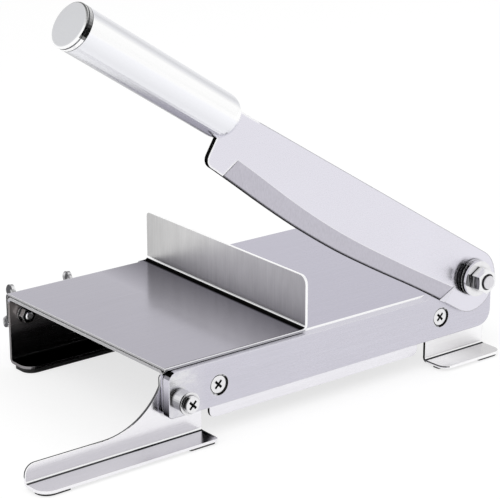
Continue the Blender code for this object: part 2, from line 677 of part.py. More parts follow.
def make_handle(parent, finish, cap_finish):
    tube_end = HANDLE_LENGTH - CAP_THICKNESS
    inner_dome = HANDLE_DOME - HANDLE_WALL
    angles = [pi / 2 * i / DOME_STEPS for i in range(DOME_STEPS + 1)]
    outer = [(HANDLE_DOME * (1 - cos(a)), HANDLE_RADIUS * sin(a)) for a in angles]
    inner = [(HANDLE_DOME - inner_dome * cos(a), HANDLE_BORE * sin(a)) for a in reversed(angles)]
    tube = along_handle([*outer, (tube_end, HANDLE_RADIUS), (tube_end, HANDLE_BORE), *inner])
    handle = make_object("handle_tube", tube, finish, parent, smooth=True)
    slot_low = -2 * HANDLE_RADIUS
    slot = [(-HANDLE_START + CUT_OVER, BLADE_SPINE + GAP), (-HANDLE_START + CUT_OVER, slot_low),
            (-BLADE_LENGTH - GAP, slot_low), (-BLADE_LENGTH - GAP, BLADE_SPINE + GAP)]
    cutter = make_object("handle_tube_slot", prism(slot, BLADE_FRONT - GAP, BLADE_BACK + GAP))
    combine(handle, cutter, "DIFFERENCE")

    near = tube_end + GAP
    plug = HANDLE_BORE - GAP
    plug_end = near - CAP_PLUG_LENGTH
    hollow_end = HANDLE_LENGTH - CAP_WALL
    groove = near + CAP_GROOVE_PLACE
    groove_end = groove + CAP_GROOVE
    groove_radius = HANDLE_RADIUS - CAP_GROOVE_DEPTH
    face = arc((HANDLE_LENGTH - CAP_ROUND, HANDLE_RADIUS - CAP_ROUND), CAP_ROUND, 90, 0, CROWN_STEPS)
    profile = [(hollow_end, 0), (hollow_end, plug - CAP_WALL), (plug_end, plug - CAP_WALL),
               (plug_end, plug), (near, plug), (near, HANDLE_RADIUS), (groove, HANDLE_RADIUS),
               (groove, groove_radius), (groove_end, groove_radius), (groove_end, HANDLE_RADIUS),
               *face, (HANDLE_LENGTH, 0)]
    make_object("handle_end_cap", along_handle(profile), cap_finish, parent, smooth=True)


def make_foot(name, web, flange, finish, parent, holes):
    """A foot: the web behind the near flange and the flange turned towards -Y at its bottom.

    web and flange are outlines that end in the bend's two end points, in (x, z) and (x, y).
    """
    left = web[-1][0]
    right = web[0][0]
    centre = (WEB_FRONT - FOOT_BEND, FOOT_TOP + FOOT_BEND)
    bend = [((left, y, z), (right, y, z)) for y, z in arc(centre, FOOT_BEND, 0, -90, BEND_STEPS)]
    panels = [[(x, WEB_FRONT, z) for x, z in web]]
    panels += bend_strip(bend)
    panels.append([(x, y, FOOT_TOP) for x, y in flange])
    foot = bent_sheet(name, panels, (0, -1, 0), finish, parent)
    for label, x, z in holes:
        cut_hole(foot, label, SCREW_RADIUS + HOLE_GAP, WEB_FRONT, WEB_BACK, x, z)


def foot_flange(left, right, width, left_corner, right_corner):
    inner = WEB_FRONT - FOOT_BEND
    return rounded([(left, inner, 0), (left, -width, left_corner), (right, -width, right_corner),
                    (right, inner, 0)])


def make_feet(parent, finish):
    low = FOOT_TOP + FOOT_BEND
    sweep_centre = (LEFT_FOOT_SWEEP_START, LEFT_FOOT_ARM_TOP + LEFT_FOOT_SWEEP_RADIUS)
    sweep_end = asin(-LEFT_FOOT_SWEEP_START / LEFT_FOOT_SWEEP_RADIUS) * 180 / pi
    sweep = arc(sweep_centre, LEFT_FOOT_SWEEP_RADIUS, -90, sweep_end - 90, SWEEP_STEPS)
    tip = rounded([(0, LEFT_FOOT_ARM_TOP, 0), (LEFT_FOOT_TIP, LEFT_FOOT_ARM_TOP, LEFT_FOOT_TIP_CORNER),
                   (LEFT_FOOT_TIP, low, 0)])[1:]
    right = rounded([(0, WEB_TOP, WEB_CORNER), (LEFT_FOOT_TAB_RIGHT, WEB_TOP, WEB_CORNER),
                     (LEFT_FOOT_TAB_RIGHT, LEFT_FOOT_TAB_BOTTOM, WEB_CORNER),
                     (LEFT_FOOT_RIGHT, LEFT_FOOT_TAB_BOTTOM, 0), (LEFT_FOOT_RIGHT, low, 0),
                     (0, low, 0)])[:-1]
    web = right[-1:] + list(reversed(right[:-1])) + list(reversed(sweep)) + tip
    flange = foot_flange(LEFT_FOOT_TIP, LEFT_FOOT_RIGHT, LEFT_FOOT_WIDTH, LEFT_FOOT_CORNER,
                         LEFT_FOOT_RIGHT_CORNER)
    x, z = BAR_SCREWS["left"]
    make_foot("near_left_foot", web, flange, finish, parent,
              [("screw_hole", x, z), ("stop_hole", STOP_X, -STOP_DROP)])

    web = rounded([(RIGHT_FOOT_RIGHT, low, 0), (RIGHT_FOOT_RIGHT, RIGHT_FOOT_TAB_BOTTOM, WEB_CORNER),
                   (RIGHT_FOOT_TAB_RIGHT, RIGHT_FOOT_TAB_BOTTOM, 0),
                   (RIGHT_FOOT_TAB_RIGHT, WEB_TOP, WEB_CORNER), (RIGHT_FOOT_LEFT, WEB_TOP, WEB_CORNER),
                   (RIGHT_FOOT_LEFT, low, 0)])
    flange = foot_flange(RIGHT_FOOT_LEFT, RIGHT_FOOT_RIGHT, RIGHT_FOOT_WIDTH, RIGHT_FOOT_CORNER,
                         RIGHT_FOOT_CORNER)
    x, z = BAR_SCREWS["right"]
    make_foot("near_right_foot", web, flange, finish, parent, [("screw_hole", x, z)])


def flat_pad(name, outline, top, thickness, finish, parent):
    pad = extruded([(x, y, top) for x, y in outline], (0, 0, -thickness))
    make_object(name, pad, finish, parent)


def make_pads(parent, finish):
    """Rubber under both near feet, at each end, and a strip under the far lip."""
    top = FOOT_BOTTOM - GAP
    for name, start, outer, near_left, near_right in (
            ("near_left_pad_outer", LEFT_FOOT_TIP + PAD_INSET, PAD_INSET - LEFT_FOOT_WIDTH,
             LEFT_FOOT_CORNER - PAD_INSET, PAD_CORNER),
            ("near_left_pad_inner", LEFT_FOOT_RIGHT - PAD_INSET - PAD_LENGTH,
             PAD_INSET - LEFT_FOOT_WIDTH, PAD_CORNER, PAD_CORNER),
            ("near_right_pad_outer", RIGHT_FOOT_RIGHT - PAD_INSET - PAD_LENGTH,
             PAD_INSET - RIGHT_FOOT_WIDTH, PAD_CORNER, RIGHT_FOOT_CORNER - PAD_INSET),
            ("near_right_pad_inner", RIGHT_FOOT_LEFT + PAD_INSET, HIDDEN_PAD_INSET - RIGHT_FOOT_WIDTH,
             PAD_CORNER, PAD_CORNER)):
        end = start + PAD_LENGTH
        outline = rounded([(start, -PAD_BACK, PAD_CORNER), (start, outer, near_left),
                           (end, outer, near_right), (end, -PAD_BACK, PAD_CORNER)])
        flat_pad(name, outline, top, PAD_THICKNESS - GAP, finish, parent)
    corner = LIP_CORNER - STRIP_INSET
    far = TABLE_DEPTH - LIP_BEND
    near = TABLE_DEPTH - LIP_DEPTH + STRIP_INSET
    right = TABLE_LENGTH - STRIP_INSET
    outline = rounded([(STRIP_INSET, far, PAD_CORNER), (STRIP_INSET, near, corner),
                       (right, near, corner), (right, far, PAD_CORNER)])
    flat_pad("far_rubber_strip", outline, -FAR_FLANGE_HEIGHT - GAP, STRIP_THICKNESS - GAP, finish,
             parent)


def make_fence_plate(parent, finish):
    top = PLATE_TOP
    near = -PLATE_OVERHANG
    far = PLATE_FAR_FACE
    bend = TABLE_BEND
    fence_far = far - FENCE_FAR_SETBACK
    slope = (FENCE_X_FAR - FENCE_X_NEAR) / (fence_far - near)

    def fence_line(offset, z):
        return ((FENCE_X_NEAR + offset, near, z), (FENCE_X_FAR + offset, fence_far, z))

    fence_bend = [fence_line(x - FENCE_BEND, z + top) for x, z in
                  arc((0, FENCE_BEND), FENCE_BEND, -90, 0, BEND_STEPS)]
    flange_end = FENCE_X_NEAR - FENCE_BEND - BEND_RELIEF
    relief_end = flange_end + BEND_RELIEF
    plate = [(0, near, top), *fence_bend[0], (relief_end, fence_far, top),
             (relief_end, far - bend, top), (flange_end, far - bend, top), (0, far - bend, top)]
    face = rounded([(near, top + FENCE_BEND, 0), (fence_far, top + FENCE_BEND, 0),
                    (fence_far, top + FENCE_HEIGHT, FENCE_FAR_CORNER),
                    (near, top + FENCE_HEIGHT, FENCE_NEAR_CORNER)])
    fence = [(FENCE_X_NEAR + (y - near) * slope, y, z) for y, z in face]
    far_bend = [((0, y, z), (flange_end, y, z)) for y, z in
                arc((far - bend, top - bend), bend, 90, 0, BEND_STEPS)]
    low = top - PLATE_FLANGE_HEIGHT
    flange = rounded([(flange_end, top - bend, 0), (flange_end, low, PLATE_FLANGE_CORNER),
                      (0, low, PLATE_FLANGE_CORNER), (0, top - bend, 0)])
    panels = [plate, fence]
    panels += bend_strip(fence_bend) + bend_strip(far_bend)
    panels.append([(x, far, z) for x, z in flange])
    item = bent_sheet("fence_plate", panels, (0, 0, 1), finish, parent)
    for label, x in (("left", WING_X_LEFT), ("right", WING_X_LEFT + WING_SPACING)):
        cut_hole(item, label + "_bolt_hole", SCREW_RADIUS + HOLE_GAP, far - SHEET, far, x, -WING_DROP)


def wing_outline():
    """One wing in (distance from the axis, height above the washer), with a round tip."""
    reach = WING_SPAN - WING_TIP_RADIUS
    tip = (reach, WING_TIP_LIFT)
    root_low = (WING_ROOT_OUT, WING_ROOT_LOW)
    root_high = (WING_ROOT_OUT, WING_ROOT_HIGH)
    low = tangent_point(root_low, tip, WING_TIP_RADIUS, 1)
    high = tangent_point(root_high, tip, WING_TIP_RADIUS, -1)
    start = atan2(low[1] - tip[1], low[0] - tip[0]) * 180 / pi
    end = atan2(high[1] - tip[1], high[0] - tip[0]) * 180 / pi
    return [root_low, *arc(tip, WING_TIP_RADIUS, start, end, WING_TIP_STEPS), root_high]


def make_wing_bolts(parent, finish):
    radius = SCREW_RADIUS
    bore = radius + HOLE_GAP
    outer_washer = PLATE_FAR_FACE + GAP
    hub = outer_washer + SCREW_WASHER_THICKNESS + GAP
    inner_washer = TABLE_DEPTH - SHEET - GAP
    nut = inner_washer - SCREW_WASHER_THICKNESS - GAP
    end = nut - SCREW_NUT_HEIGHT - SCREW_END_SHOWS
    hub_end = hub + WING_HUB_HEIGHT
    profile = [(end, 0), (end, radius - SCREW_CHAMFER), (end + SCREW_CHAMFER, radius), (hub, radius),
               (hub, WING_HUB_RADIUS), (hub_end - SCREW_CHAMFER, WING_HUB_SHOULDER_RADIUS),
               (hub_end, WING_HUB_TOP_RADIUS), (hub_end, 0)]
    for side, x in (("left", WING_X_LEFT), ("right", WING_X_LEFT + WING_SPACING)):
        place = (x, 0, -WING_DROP)
        name = "wing_bolt_" + side
        bolt = make_object(name, turned(profile), finish, parent, place, smooth=True)
        for label, sign in (("upper", 1), ("lower", -1)):
            outline = [(-WING_THICKNESS / 2, hub + height, sign * out)
                       for out, height in wing_outline()]
            wing = extruded(outline, (WING_THICKNESS, 0, 0))
            bmesh.ops.rotate(wing, verts=wing.verts, cent=(0, 0, 0),
                             matrix=Matrix.Rotation(radians(WING_ANGLE), 3, "Y"))
            combine(bolt, make_object(name + "_" + label + "_wing", wing), "UNION")
        make_washer("wing_washer_" + side, bore, SCREW_WASHER_RADIUS, outer_washer,
                    outer_washer + SCREW_WASHER_THICKNESS, finish, parent, place)
        make_washer("clamp_washer_" + side, bore, SCREW_WASHER_RADIUS,
                    inner_washer - SCREW_WASHER_THICKNESS, inner_washer, finish, parent, place)
        make_nut("clamp_nut_" + side, SCREW_NUT_WIDTH, nut - SCREW_NUT_HEIGHT, nut, bore, finish,
                 parent, place)


def stand_on_ground(machine):
    """Moves the machine so that its footprint's centre is the origin and its lowest point Z = 0."""
    bpy.context.view_layer.update()
    graph = bpy.context.evaluated_depsgraph_get()
    corners = []
    for item in bpy.context.scene.objects:
        if item.type == "MESH" and not item.hide_render:
            solid = item.evaluated_get(graph)
            corners += [solid.matrix_world @ vertex.co for vertex in solid.data.vertices]
    low = Vector(min(point[k] for point in corners) for k in range(3))
    high = Vector(max(point[k] for point in corners) for k in range(3))
    machine.location = (-(low.x + high.x) / 2, -(low.y + high.y) / 2, -low.z)
    bpy.context.view_layer.update()


def main():
    clear_scene()
    brushed = make_finish("brushed_steel", (0.55, 0.55, 0.57), 1.0, 0.32)
    satin = make_finish("satin_blade_steel", (0.72, 0.72, 0.74), 1.0, 0.28)
    bright = make_finish("bright_steel", (0.74, 0.74, 0.75), 1.0, 0.14)
    polished = make_finish("polished_handle", (0.86, 0.86, 0.88), 1.0, 0.08)
    rubber = make_finish("black_rubber", (0.02, 0.02, 0.02), 0.0, 0.6)

    machine = make_frame("machine")
    pivot = make_frame("blade_pivot", machine, (PIVOT_X, 0, PIVOT_HEIGHT), radians(REST_ANGLE))
    make_table(machine, brushed)
    make_bar(machine, brushed)
    make_bar_screws(machine, bright)
    make_stop(machine, bright)
    make_feet(machine, brushed)
    make_pads(machine, rubber)
    make_pivot(machine, bright)
    make_blade(pivot, satin)
    make_handle(pivot, polished, brushed)
    make_fence_plate(machine, brushed)
    make_wing_bolts(machine, bright)
    stand_on_ground(machine)


main()
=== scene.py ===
"""Looks for the hand-lever bone chopper: steels, rubber, fine detail of the fasteners and a pale studio.

Many dark and bright reflections are painted in the materials, by place and by the way that a face looks.
They suit this script's camera, stay on their piece in every pose, and don't follow the light.
"""

from math import cos, pi, radians, sin

import bmesh
import bpy
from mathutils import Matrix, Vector


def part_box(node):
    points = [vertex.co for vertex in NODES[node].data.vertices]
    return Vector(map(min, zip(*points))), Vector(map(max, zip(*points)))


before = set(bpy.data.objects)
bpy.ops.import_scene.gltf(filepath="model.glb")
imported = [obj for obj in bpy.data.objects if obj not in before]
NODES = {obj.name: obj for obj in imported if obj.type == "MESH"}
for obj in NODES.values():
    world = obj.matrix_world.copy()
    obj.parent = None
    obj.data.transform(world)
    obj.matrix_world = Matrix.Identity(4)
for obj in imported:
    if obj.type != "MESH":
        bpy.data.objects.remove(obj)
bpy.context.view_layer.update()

# Lengths are metres. The machine's zero point is at the table's left end, on the near flange's outer face
# and on the top face.
table_low, table_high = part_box("base_table")
MACHINE = Vector((table_low.x, table_low.y, table_high.z))
REST_ANGLE = radians(31.6)
BLADE_LEAN = (0, -REST_ANGLE, 0)

# Fence plate: height above the table's top, and the line of the fence's left face
PLATE_TOP = 0.00195
FENCE_START = Vector((0.0964, -0.002))
FENCE_SLOPE = 0.0321

# Feet: top of the flange in the row frame, and the middle of the web's thickness
FOOT_TOP = 0.00315
WEB_MIDDLE = MACHINE.y + 0.0027

# Camera, solved from the straight edges
CAMERA_PLACE = Vector((-0.6227, -0.8239, 0.4085))
CAMERA_LOOK = Vector((0.5965, 0.7421, -0.3059))
CAMERA_LENS = 136.8
CAMERA_CLIP = (0.05, 100.0)
SENSOR = 36.0

# Studio
WORLD_LIGHT = 0.62
FLOOR_COLOUR = (0.36, 0.36, 0.36)
FLOOR_GLOW = 0.72
FLOOR_SIZE = 20.0
FLOOR_DROP = 0.0002
CARD_LOW = (-0.078, -0.066)
CARD_HIGH = (0.158, 0.074)
CARD_HEIGHT = 0.0004
CARD_GLOW = 0.2
LAMP_SIZE = 1.6
KEY_PLACE = (-1.2, -0.9, 1.9)
KEY_POWER = 14.0
FILL_PLACE = (1.4, -0.6, 1.6)
FILL_POWER = 7.0

# Base colours, piece by piece
TABLE_COLOUR = (0.466, 0.451, 0.535)
# Painted light: the table's near flange is a lighter copy of its steel
LIT_FLANGE_COLOUR = (0.840, 0.830, 0.870)
# Painted shade and painted light inside the far flange
SHADED_INNER_METAL = (0.250, 0.240, 0.235)
LIT_INNER_METAL = (0.30, 0.27, 0.26)
PLATE_COLOUR = (0.395, 0.382, 0.438)
# Painted shade on the plate beside the fence, and a painted grey line on its near face
SHADED_PLATE = (0.050, 0.046, 0.066)
PLATE_LINE = (0.38, 0.38, 0.40)
# Painted light: the fence is a lighter copy of the plate's steel
LIT_FENCE_COLOUR = (0.715, 0.710, 0.710)
FOOT_COLOUR = (0.880, 0.870, 0.900)
# Painted light and shade on the feet: a darker flange, dark lines, a lighter right web and right flange,
# greyer at the right flange's end
SHADED_FOOT_FLANGE = (0.67, 0.66, 0.690)
FOOT_LINE = (0.10, 0.10, 0.105)
LIT_RIGHT_WEB = (0.98, 0.975, 0.985)
LIT_RIGHT_FLANGE = (0.93, 0.925, 0.935)
RIGHT_FLANGE_END = (0.45, 0.44, 0.45)
BAR_COLOUR = (0.600, 0.588, 0.657)
# Lighter patches towards the bar's left end, and a painted highlight in the countersinks
BAR_PATCHES = (0.78, 0.78, 0.79)
SINK_HIGHLIGHT = (0.85, 0.85, 0.87)
BLADE_COLOUR = (0.750, 0.737, 0.805)
BEVEL_COLOUR = (0.530, 0.515, 0.575)
# Painted highlight where the bevel starts, painted grey line along the blade's rim
BEVEL_START_COLOUR = (0.93, 0.93, 0.95)
BLADE_RIM = (0.32, 0.32, 0.33)
# Painted reflection tint on the handle
HANDLE_TINT = (0.955, 0.960, 1.0)
CAP_COLOUR = (0.640, 0.645, 0.665)
# Painted dark reflection on the cap's rim
CAP_RIM = (0.12, 0.12, 0.12)
BRIGHT_COLOUR = (0.800, 0.795, 0.810)
SLEEVE_COLOUR = (0.72, 0.72, 0.74)
SLEEVE_SHADE = (0.30, 0.30, 0.32)
CLAMP_COLOUR = (0.97, 0.97, 0.98)
NUT_COLOUR = (0.86, 0.86, 0.87)
# Painted reflection stripes on the pivot nut
NUT_STRIPES = (0.30, 0.30, 0.31)
WING_COLOUR = (0.360, 0.355, 0.365)
# Painted shade on the wing bolts' rims
WING_SHADE = (0.08, 0.08, 0.085)
THREAD_COLOUR = (0.70, 0.69, 0.72)
RUBBER_LOW = (0.012, 0.012, 0.012)
RUBBER_HIGH = (0.035, 0.034, 0.033)

# Base colours that several pieces share
WHITE = (1.0, 1.0, 1.0)
# Painted highlight colour for bright edges, bends and rims
HIGHLIGHT_WHITE = (0.985, 0.985, 0.990)
CUT_EDGE = (0.410, 0.405, 0.420)
# Painted dark lines
LINE_GREY = (0.16, 0.16, 0.17)
# Painted dark shade in grooves and holes, and dark outlines
DARK_SHADE = (0.050, 0.050, 0.055)
BLACK = (0.010, 0.010, 0.010)

# Painted reflection bands round the handle, bright and grey: (place between its upper side at -1 and its
# lower at 1, value)
HANDLE_BANDS = ((-1.0, 0.88), (-0.75, 0.69), (-0.5, 0.99), (0.0, 0.98), (0.55, 0.85), (0.8, 0.92),
                (0.95, 0.90), (1.0, 0.45))
HANDLE_LEAN = radians(32.67)
HANDLE_RADIUS = 0.01225
END_DEPTH = 0.0005  # part of the tube's outer end in which its middle is looked for

# Where the blade's heel starts, measured from the pivot along the blade
HEEL_START = 0.1985

# Fasteners: radii, the depths between which a recess is painted black as shade, and the pivot bolt's thread
CROSS_RECESS = 0.0031
COUNTERSINK = 0.0064
BOLT_HOLE = 0.0049
RECESS_DEPTHS = (0.0001, 0.0018)
PIVOT_PITCH = 0.00125

# Masks: how squarely a face looks along an axis, and how soft the mask's border is
SQUARE = 0.9
VERY_SQUARE = 0.95
FACE_SOFT = 0.05
TURN_SOFT = 0.1
END_SOFT = 0.03
HAIR = 0.0001
FINE = 0.0002
SOFT = 0.0005
BROAD = 0.001
WIDE = 0.002

# Grain: the part of a noise's range that is spread over the tones, the stretch along a piece, the scale on
# fasteners, the radius to which edges are rounded and the depth of the relief
NOISE_LOW = 0.3
NOISE_HIGH = 0.7
LENGTHWISE = (0.02, 1.0, 1.0)
FASTENER_GRAIN = 1500.0
ROUND_EDGE = 0.0003
RELIEF_DEPTH = 0.00002


class Graph:
    """Shorthand for building a material's node tree."""

    def __init__(self, tree):
        self.tree = tree

    def node(self, kind, inputs=None, **settings):
        made = self.tree.nodes.new("ShaderNode" + kind)
        for key, value in settings.items():
            setattr(made, key, value)
        for key, value in (inputs or {}).items():
            self.feed(made.inputs[key], value)
        return made

    def feed(self, socket, value):
        if isinstance(value, bpy.types.NodeSocket):
            self.tree.links.new(value, socket)
        elif socket.type == "RGBA":
            socket.default_value = (*value[:3], 1.0)
        else:
            socket.default_value = value

    def math(self, operation, a, b=0.0):
        return self.node("Math", {0: a, 1: b}, operation=operation).outputs[0]

    def vector_math(self, operation, a, b):
        """A vector made from two others."""
        return self.node("VectorMath", {0: a, 1: b}, operation=operation).outputs[0]

    def dot(self, a, b):
        return self.node("VectorMath", {0: a, 1: b}, operation="DOT_PRODUCT").outputs["Value"]

    def scaled(self, colour, factor):
        return self.node("VectorMath", {0: colour, "Scale": factor}, operation="SCALE").outputs[0]

    def spread(self, value, low, high, from_low=0.0, from_high=1.0):
        """A value's range spread over another range, and held at its ends."""
        return self.node("MapRange", {"Value": value, "From Min": from_low, "From Max": from_high,
                                      "To Min": low, "To Max": high}).outputs["Result"]

    def varied(self, noise, low, high):
        """A noise spread over a range."""
        return self.spread(noise, low, high, NOISE_LOW, NOISE_HIGH)

    def noise(self, vector, scale, detail=3.0, roughness=0.5):
        return self.node("TexNoise", {"Vector": vector, "Scale": scale, "Detail": detail,
                                      "Roughness": roughness}).outputs["Fac"]

    def stretch(self, vector, scale, rotation=(0, 0, 0)):
        return self.node("Mapping", {"Vector": vector, "Rotation": rotation,
                                     "Scale": scale}).outputs["Vector"]

    def mix(self, factor, a, b, kind="RGBA"):
        """Colours, or with kind FLOAT plain numbers, mixed by a factor."""
        made = self.node("Mix", data_type=kind)
        sockets = [item for item in made.inputs if item.enabled]
        for socket, value in zip(sockets, (factor, a, b)):
            self.feed(socket, value)
        return next(item for item in made.outputs if item.enabled)

    def ramp(self, value, stops):
        """A plain number read off a line of (place, value) stops."""
        made = self.node("FloatCurve", {"Value": self.spread(value, 0, 1, stops[0][0], stops[-1][0])})
        curve = made.mapping.curves[0]
        span = stops[-1][0] - stops[0][0]
        for _ in stops[2:]:
            curve.points.new(0.5, 0.5)
        for point, (place, level) in zip(curve.points, stops):
            point.location = ((place - stops[0][0]) / span, level)
            point.handle_type = "VECTOR"
        made.mapping.update()
        return made.outputs["Value"]

    def parts(self, vector):
        return self.node("SeparateXYZ", {0: vector}).outputs

    def both(self, a, b):
        return self.math("MULTIPLY", a, b)

    def all(self, first, *others):
        for other in others:
            first = self.both(first, other)
        return first

    def either(self, a, b):
        return self.math("MAXIMUM", a, b)

    def outside(self, mask):
        return self.math("SUBTRACT", 1.0, mask)

    def above(self, value, limit, soft):
        return self.spread(value, 0, 1, limit - soft, limit + soft)

    def below(self, value, limit, soft):
        return self.spread(value, 1, 0, limit - soft, limit + soft)

    def band(self, value, low, high, soft):
        """1 between two values and 0 outside, with soft flanks."""
        return self.both(self.above(value, low, soft), self.below(value, high, soft))

    def contact(self, reach, darkest):
        """A factor that paints shade: it falls towards darkest in corners and close beside other pieces."""
        open_share = self.node("AmbientOcclusion", {"Distance": reach}, samples=16).outputs["AO"]
        return self.spread(open_share, darkest, 1.0, 0.25, 0.85)

    def near_edges(self, radius, strength=1.0, low=0.985, high=0.90):
        """A mask of the places near an edge, where the rounded normal leaves the true one."""
        rounded = self.node("Bevel", {"Radius": radius}, samples=6).outputs["Normal"]
        true = self.node("NewGeometry").outputs["True Normal"]
        return self.spread(self.dot(rounded, true), 0, strength, low, high)


def new_material(name):
    material = bpy.data.materials.new(name)
    material.use_nodes = True
    shader = material.node_tree.nodes["Principled BSDF"]
    return material, Graph(material.node_tree), shader


class Steel:
    """A brushed steel; its colour and roughness can be changed place by place before it is finished.
    Finishing paints a highlight along its edges and shade in its corners.
    """

    def __init__(self, name, colour, roughness, stretch=(1, 1, 1), rotation=(0, 0, 0), grain=2600.0,
                 contrast=0.03, bump=0.15, edge=0.0004, edge_strength=0.9, rough_spread=0.04,
                 cloud=0.012, contact=0.35, contact_reach=0.003):
        self.material, self.g, self.shader = new_material(name)
        g = self.g
        self.coords = g.node("TexCoord").outputs["Object"]
        self.place = g.parts(self.coords)
        self.facing = g.node("TexCoord").outputs["Normal"]
        self.normal = g.parts(self.facing)
        streaked = g.stretch(self.coords, stretch, rotation)
        self.streaks = g.noise(streaked, grain, 3.0, 0.6)
        broad = g.noise(streaked, grain * 0.3, 2.0)
        clouds = g.noise(self.coords, 18.0, 2.0)
        tone = g.varied(self.streaks, 1 - contrast, 1 + contrast)
        tone = g.both(tone, g.varied(broad, 1 - contrast / 2, 1 + contrast / 2))
        self.tone = g.both(tone, g.varied(clouds, 1 - cloud, 1 + cloud))
        self.colour = self.toned(colour)
        rough = g.varied(self.streaks, roughness - rough_spread, roughness + rough_spread)
        self.rough = g.math("ADD", rough, g.varied(clouds, -0.02, 0.02))
        self.bump = bump
        self.edge = edge
        self.edge_strength = edge_strength
        self.contact = contact
        self.contact_reach = contact_reach
        self.edge_highlight_share = 1.0
        self.glint = None
        self.metal = 1.0

    def looks(self, way, limit=SQUARE, soft=FACE_SOFT):
        """1 on the faces that look along an axis, the way being such as +Z or -Y."""
        sign, axis = way
        if sign == "-":
            return self.g.below(self.normal[axis], -limit, soft)
        return self.g.above(self.normal[axis], limit, soft)

    def turned_from(self, axis, limit=0.5):
        """1 on the faces that look neither up nor down an axis, such as the rim of a washer."""
        return self.g.below(self.g.math("ABSOLUTE", self.normal[axis]), limit, TURN_SOFT)

    def past(self, axis, limit, soft):
        return self.g.above(self.place[axis], limit, soft)

    def before(self, axis, limit, soft):
        return self.g.below(self.place[axis], limit, soft)

    def toned(self, colour):
        """A colour with the same streaks as the rest of the steel."""
        return self.g.scaled(colour, self.tone)

    def tint(self, mask, colour, roughness=None):
        self.colour = self.g.mix(mask, self.colour, colour)
        if roughness is not None:
            self.rough = self.g.mix(mask, self.rough, roughness, "FLOAT")

    def blacken(self, mask, colour, roughness=None):
        """A tint for painted dark reflections and shade, which also takes away the painted edge highlight
        and the bright reflection at grazing angles.
        """
        self.tint(mask, colour, roughness)
        clear = self.g.outside(mask)
        self.edge_highlight_share = self.g.both(clear, self.edge_highlight_share)
        self.glint = clear if self.glint is None else self.g.both(self.glint, clear)

    def finish(self):
        g = self.g
        if self.edge_strength:
            # Painted highlight along the edges
            self.tint(g.both(g.near_edges(self.edge, self.edge_strength), self.edge_highlight_share), HIGHLIGHT_WHITE, 0.4)
        # Painted shade in corners and close beside other pieces
        colour = g.scaled(self.colour, g.contact(self.contact_reach, self.contact))
        if self.glint is not None:
            g.feed(self.shader.inputs["Specular Tint"], g.mix(self.glint, BLACK, WHITE))
        g.feed(self.shader.inputs["Base Color"], colour)
        g.feed(self.shader.inputs["Roughness"], self.rough)
        rounded = g.node("Bevel", {"Radius": ROUND_EDGE}, samples=4)
        relief = g.node("Bump", {"Height": self.streaks, "Strength": self.bump, "Distance": RELIEF_DEPTH,
                                 "Normal": rounded.outputs["Normal"]})
        g.feed(self.shader.inputs["Normal"], relief.outputs["Normal"])
        g.feed(self.shader.inputs["Metallic"], self.metal)
        return self.material


def dress(material, *names):
    for name in names:
        mesh = NODES[name].data
        mesh.materials.clear()
        mesh.materials.append(material)


def around(g, coords, centre):
    """Distance from an axis along Y that runs through a point."""
    place = g.vector_math("SUBTRACT", coords, (centre.x, 0, centre.z))
    flat = g.vector_math("MULTIPLY", place, (1, 0, 1))
    return g.node("VectorMath", {0: flat}, operation="LENGTH").outputs["Value"]


def fence_line(g, y):
    """Where the fence's left face stands along X, at a place along Y."""
    along = g.math("MULTIPLY", g.math("SUBTRACT", y, MACHINE.y + FENCE_START.y), FENCE_SLOPE)
    return g.math("ADD", along, MACHINE.x + FENCE_START.x)


def centre_of(name):
    low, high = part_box(name)
    return (low + high) / 2


def make_table_steel():
    """Top, near flange painted lighter, painted shade inside the far flange with painted light towards its
    top, dull cut edges with painted black shade low on the near end, a painted highlight and a painted dark
    line on the bend.
    """
    table = Steel("brushed_sheet", TABLE_COLOUR, 0.24, LENGTHWISE, contact=0.6)
    g = table.g
    z = table.place["Z"]
    # Painted light: the near flange is a lighter copy of the table's steel
    near_face = table.before("Y", MACHINE.y + 0.0005, 0.0003)
    table.tint(g.both(table.looks("-Y"), near_face), table.toned(LIT_FLANGE_COLOUR))

    # Painted shade inside the far flange, black on its upward faces
    far_part = 0.055
    under_top = MACHINE.z - 0.003
    inside = g.all(table.past("Y", far_part, WIDE), table.before("Z", under_top, SOFT),
                   g.below(table.normal["Y"], 0.5, TURN_SOFT))
    table.blacken(g.both(inside, 0.85), table.toned(SHADED_INNER_METAL))
    table.blacken(g.both(inside, table.looks("+Z", 0.1, TURN_SOFT)), BLACK)
    # Painted light towards the top of the inside, where the steel is also made less metallic so that it
    # takes light
    lit_from, lit_fully = MACHINE.z - 0.024, MACHINE.z - 0.006
    lit = g.both(inside, g.spread(z, 0, 1, lit_from, lit_fully))
    table.tint(lit, table.toned(LIT_INNER_METAL))
    scatter = 0.7
    table.metal = g.outside(g.both(lit, scatter))

    end = table.looks("-X", VERY_SQUARE, END_SOFT)
    table.tint(g.both(end, table.past("Z", MACHINE.z - 0.002, SOFT)), CUT_EDGE)
    # Painted black shade towards the bottom of the near flange's left end
    near_end = g.both(end, table.before("Y", MACHINE.y + 0.002, FINE))
    shade_full, shade_start = MACHINE.z - 0.022, MACHINE.z - 0.012
    table.blacken(g.both(near_end, g.spread(z, 1, 0, shade_full, shade_start)), BLACK)

    # Painted highlight and painted dark line on the near bend, painted highlight on the strip along the
    # near edge
    bend_end, strip_end = MACHINE.y + 0.003, MACHINE.y + 0.0022
    bend = table.before("Y", bend_end, FINE)
    table.tint(g.both(bend, g.band(table.normal["Z"], 0.30, 0.95, 0.04)), HIGHLIGHT_WHITE, 0.3)
    table.tint(g.both(bend, g.band(table.normal["Z"], 0.04, 0.28, 0.03)), LINE_GREY)
    strip = g.both(table.before("Y", strip_end, FINE), table.looks("+Z"))
    table.tint(strip, HIGHLIGHT_WHITE, 0.3)
    dress(table.finish(), "base_table")


